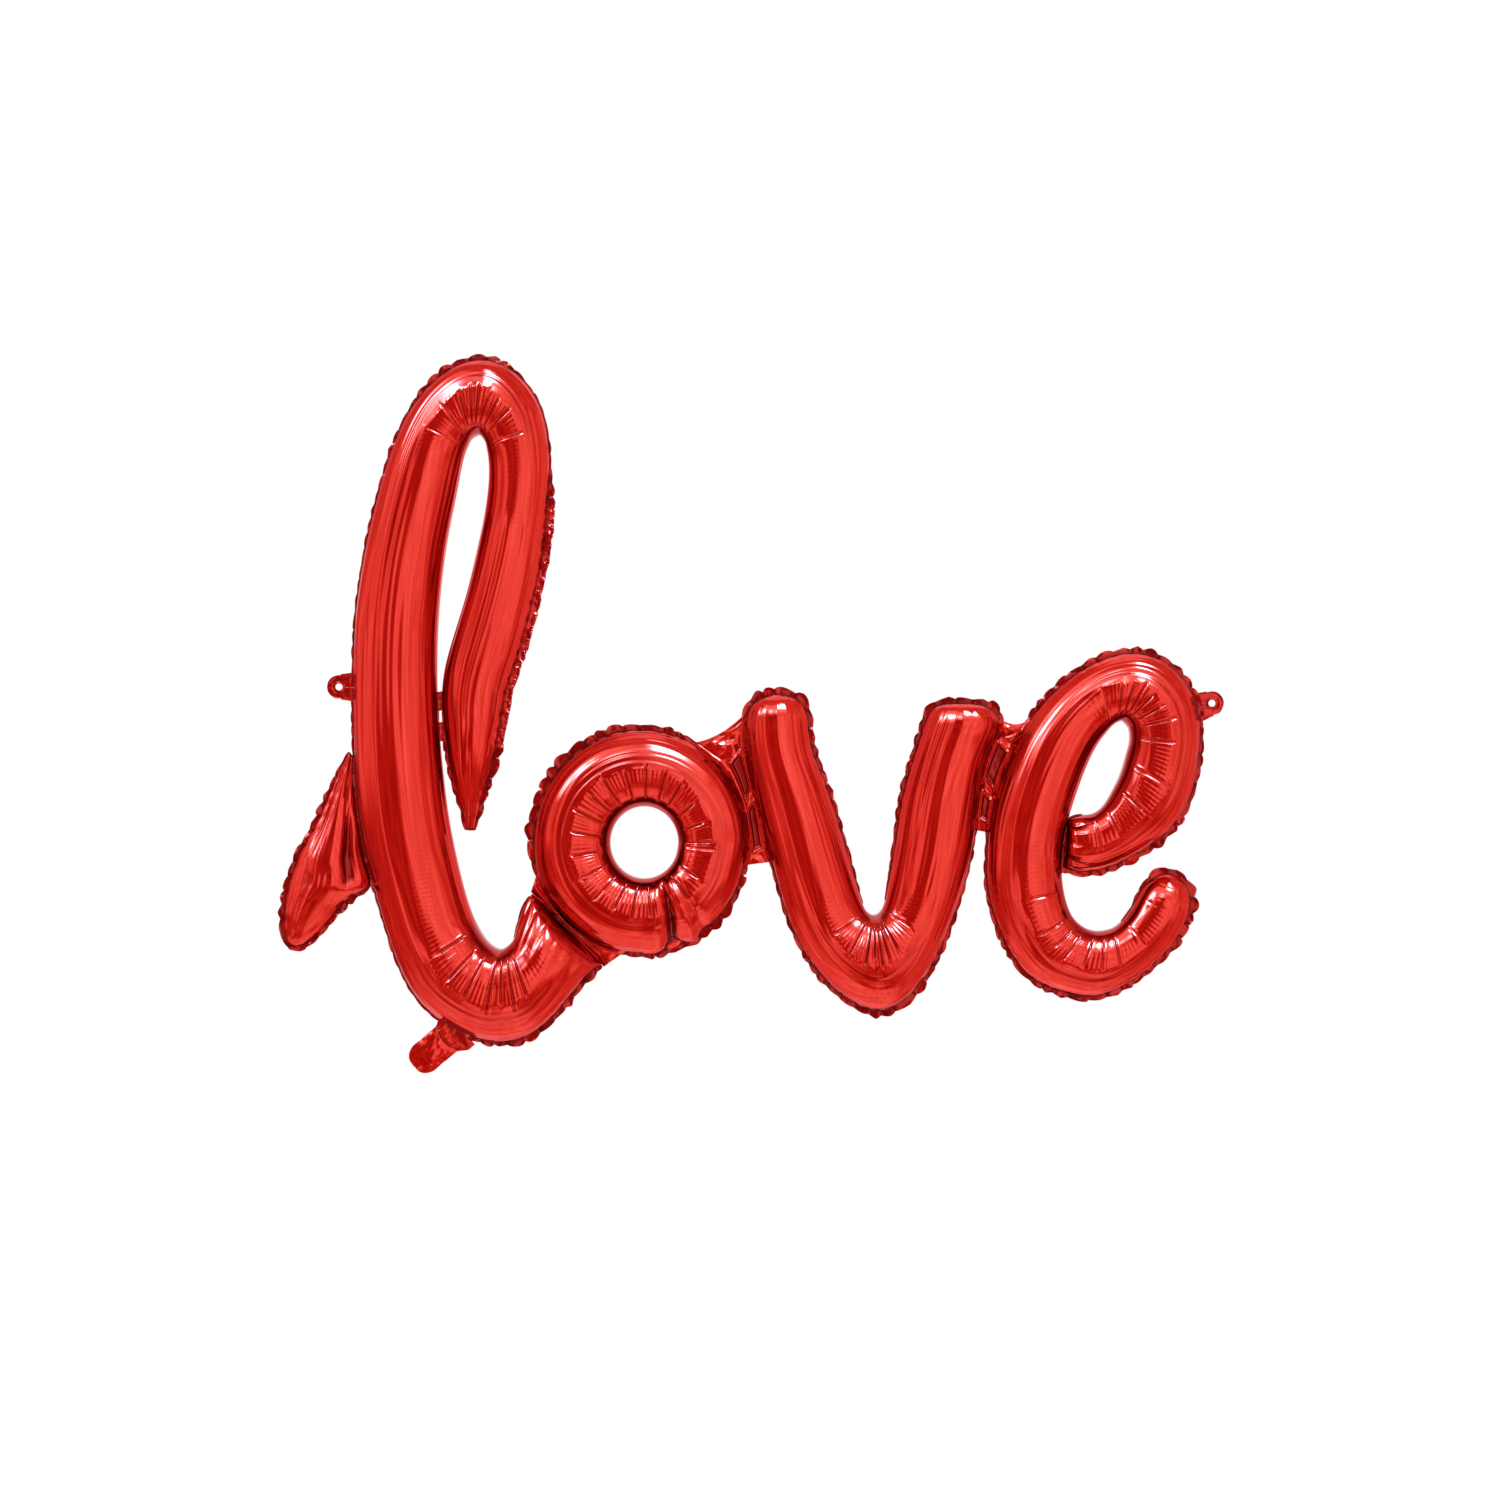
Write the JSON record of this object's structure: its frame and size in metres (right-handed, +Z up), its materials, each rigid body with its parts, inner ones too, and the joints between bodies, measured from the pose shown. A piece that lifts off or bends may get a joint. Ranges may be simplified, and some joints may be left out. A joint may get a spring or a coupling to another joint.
{
  "type": "script word foil balloon",
  "caption": "Inflated metallic-red foil balloon shaped as a joined script word, with puckered heat seals, folding webs between the letters, a valved filling tail and punched hanging tabs.",
  "frame": {"origin": "middle of the punched hole in the left hanging tab, in the seam plane", "axes": "+X to the right along the word as it is read, +Z up, -Y to the front, towards the reader"},
  "size_m": [0.871, 0.086, 0.6627],
  "materials": {
    "red_foil": "metallised film, mirror-bright red, finely wrinkled",
    "seal_foil": "two metallised films welded flat, darker red, puckered",
    "valve_film": "thin milky film"
  },
  "bodies": {
    "l": {"l_front_foil": "red_foil", "l_back_foil": "red_foil", "l_entry_front_foil": "red_foil", "l_entry_back_foil": "red_foil", "l_heat_seal": "seal_foil", "valve_film_front": "valve_film", "valve_film_back": "valve_film"},
    "o": {"o_front_foil": "red_foil", "o_back_foil": "red_foil", "o_heat_seal": "seal_foil"},
    "v": {"v_front_foil": "red_foil", "v_back_foil": "red_foil", "v_heat_seal": "seal_foil"},
    "e": {"e_front_foil": "red_foil", "e_back_foil": "red_foil", "e_heat_seal": "seal_foil"},
    "tail": {"tail_front_foil": "red_foil", "tail_back_foil": "red_foil"},
    "left_tab": {"left_hanging_tab": "seal_foil"},
    "right_tab": {"right_hanging_tab": "seal_foil"}
  },
  "joints": [
    {"name": "l_o_fold", "type": "hinge", "parent": "l", "child": "o", "pos_m": [0.213, 0, -0.222], "axis": [-0.7071, 0, 0.7071], "range_deg": [-18, 18], "stiffness_Nm_per_rad": 0.6},
    {"name": "o_v_fold", "type": "hinge", "parent": "o", "child": "v", "pos_m": [0.376, 0, -0.105], "axis": [-0.225, 0, 0.9744], "range_deg": [-40, 40], "stiffness_Nm_per_rad": 0.15},
    {"name": "v_e_fold", "type": "hinge", "parent": "v", "child": "e", "pos_m": [0.601, 0, -0.087], "axis": [0.2164, 0, 0.9763], "range_deg": [-40, 40], "stiffness_Nm_per_rad": 0.1},
    {"name": "tail_flap", "type": "hinge", "parent": "l", "child": "tail", "pos_m": [0.101, 0, -0.322], "axis": [0.6428, 0, -0.766], "range_deg": [-75, 75], "stiffness_Nm_per_rad": 0.0004, "deforming": ["valve_film_front", "valve_film_back"]},
    {"name": "left_tab_flap", "type": "hinge", "parent": "l", "child": "left_tab", "pos_m": [0.0092, 0, 0], "axis": [0, 0, 1], "range_deg": [-75, 75], "stiffness_Nm_per_rad": 0.0003},
    {"name": "right_tab_flap", "type": "hinge", "parent": "e", "child": "right_tab", "pos_m": [0.79554, 0, -0.01728], "axis": [0.2924, 0, -0.9563], "range_deg": [-75, 75], "stiffness_Nm_per_rad": 0.0003}
  ]
}
